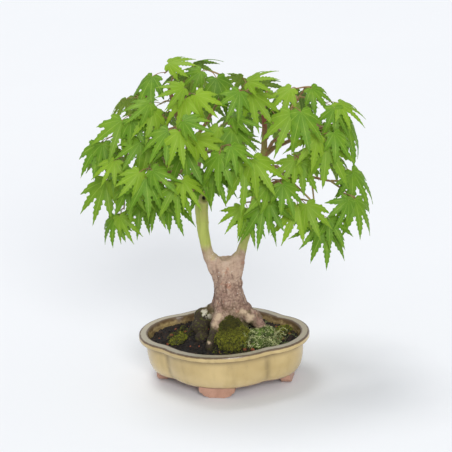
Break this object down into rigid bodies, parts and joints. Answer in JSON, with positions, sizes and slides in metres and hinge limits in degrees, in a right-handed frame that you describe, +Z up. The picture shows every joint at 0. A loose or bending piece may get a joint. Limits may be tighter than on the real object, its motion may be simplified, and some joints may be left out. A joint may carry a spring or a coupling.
{
  "type": "bonsai tree in a pot",
  "caption": "Japanese maple bonsai with a trunk forked into two boughs and a spreading green crown, planted with moss in a shallow lobed ceramic pot on cloud feet.",
  "frame": {"origin": "centre of the bounding box in plan, on the flat surface that the pot's feet stand on", "axes": "+Z up; X along the pot's long axis; the tree's front faces -Y, turned 12 degrees towards +X"},
  "size_m": [0.2934, 0.203, 0.3408],
  "materials": {
    "celadon_glaze": "glossy beige celadon glaze, brown where it thins at the edges, bare clay feet",
    "plastic_mesh": "satin green",
    "aluminium_wire": "brown anodised",
    "soil": "damp, crumbly, matte",
    "moss": "fuzzy, matte",
    "maple_bark": "rough pinkish brown bark below, smooth green bark on the boughs",
    "maple_leaf": "satin, thin, lets light through"
  },
  "bodies": {
    "root": {"drain_mesh_left": "plastic_mesh", "drain_mesh_right": "plastic_mesh", "leaf_spray_01": "maple_leaf", "leaf_spray_02": "maple_leaf", "leaf_spray_03": "maple_leaf", "leaf_spray_04": "maple_leaf", "leaf_spray_05": "maple_leaf", "leaf_spray_06": "maple_leaf", "leaf_spray_07": "maple_leaf", "leaf_spray_08": "maple_leaf", "leaf_spray_09": "maple_leaf", "leaf_spray_10": "maple_leaf", "leaf_spray_11": "maple_leaf", "leaf_spray_12": "maple_leaf", "leaf_spray_13": "maple_leaf", "leaf_spray_14": "maple_leaf", "leaf_spray_15": "maple_leaf", "leaf_spray_16": "maple_leaf", "leaf_spray_17": "maple_leaf", "leaf_spray_18": "maple_leaf", "leaf_spray_19": "maple_leaf", "leaf_spray_20": "maple_leaf", "leaf_spray_21": "maple_leaf", "leaf_spray_22": "maple_leaf", "leaf_spray_23": "maple_leaf", "leaf_spray_24": "maple_leaf", "leaf_spray_25": "maple_leaf", "leaf_spray_26": "maple_leaf", "leaf_spray_27": "maple_leaf", "leaf_spray_28": "maple_leaf", "leaf_spray_29": "maple_leaf", "leaf_spray_30": "maple_leaf", "leaf_spray_31": "maple_leaf", "leaf_spray_32": "maple_leaf", "leaf_spray_33": "maple_leaf", "leaf_spray_34": "maple_leaf", "leaf_spray_35": "maple_leaf", "leaf_spray_36": "maple_leaf", "leaf_spray_37": "maple_leaf", "leaf_spray_38": "maple_leaf", "leaf_spray_39": "maple_leaf", "leaf_spray_40": "maple_leaf", "leaf_spray_41": "maple_leaf", "leaf_spray_42": "maple_leaf", "leaf_spray_43": "maple_leaf", "leaf_spray_44": "maple_leaf", "leaf_spray_45": "maple_leaf", "leaf_spray_46": "maple_leaf", "leaf_spray_47": "maple_leaf", "leaf_spray_48": "maple_leaf", "leaf_spray_49": "maple_leaf", "mesh_clip_left": "aluminium_wire", "mesh_clip_right": "aluminium_wire", "moss_far_right": "moss", "moss_front": "moss", "moss_left": "moss", "pot": "celadon_glaze", "soil": "soil", "star_moss_right": "moss", "trunk_and_branches": "maple_bark"}
  },
  "joints": []
}
